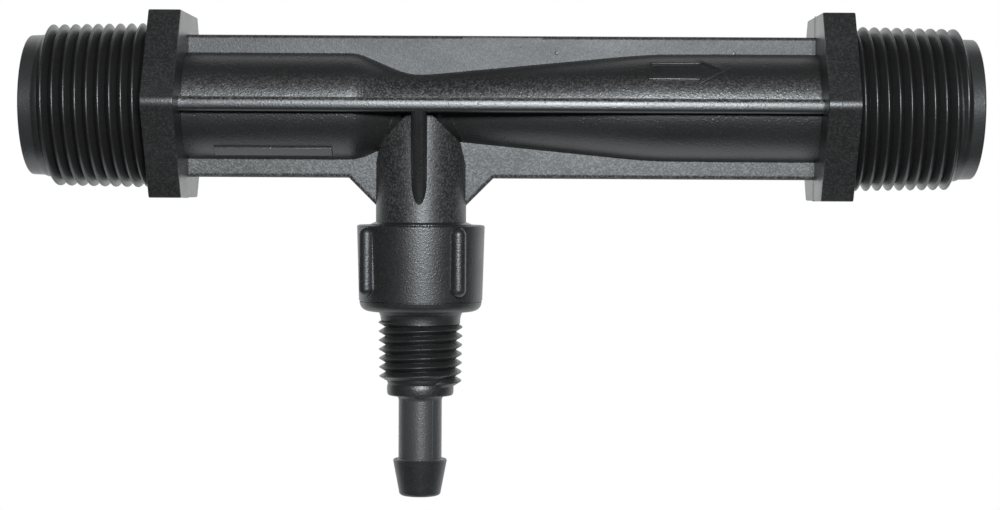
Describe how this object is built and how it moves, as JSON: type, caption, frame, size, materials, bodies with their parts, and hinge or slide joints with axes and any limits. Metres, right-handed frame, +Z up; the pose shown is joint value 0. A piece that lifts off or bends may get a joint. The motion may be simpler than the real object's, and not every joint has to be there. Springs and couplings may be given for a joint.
{
  "type": "venturi fertilizer injector",
  "caption": "Black moulded in-line venturi injector: ribbed converging and diverging tube, threaded pipe ends, hexagon wrench collars and a suction cap with a sprung ball check and hose barb.",
  "frame": {"origin": "on the flow axis, where the full inlet thread starts", "axes": "+X along the flow from inlet to outlet, +Z up, with the suction cap and its barb towards -Z"},
  "size_m": [0.1526, 0.0344, 0.0784],
  "materials": {
    "body_plastic": "satin black moulded plastic with a fine grain",
    "cap_plastic": "satin black moulded plastic",
    "seal_rubber": "matt black rubber",
    "ball_steel": "polished stainless steel",
    "spring_steel": "drawn stainless wire"
  },
  "bodies": {
    "housing": {"injector_body": "body_plastic", "suction_cap": "cap_plastic", "cap_seal": "seal_rubber", "check_spring": "spring_steel"},
    "valve_ball": {"check_ball": "ball_steel"}
  },
  "joints": [
    {"name": "ball_lift", "type": "slide", "parent": "housing", "child": "valve_ball", "axis": [0, 0, 1], "range_m": [0, 0.0022], "stiffness_N_per_m": 110, "springref_m": -0.001, "deforming": ["check_spring"]}
  ]
}
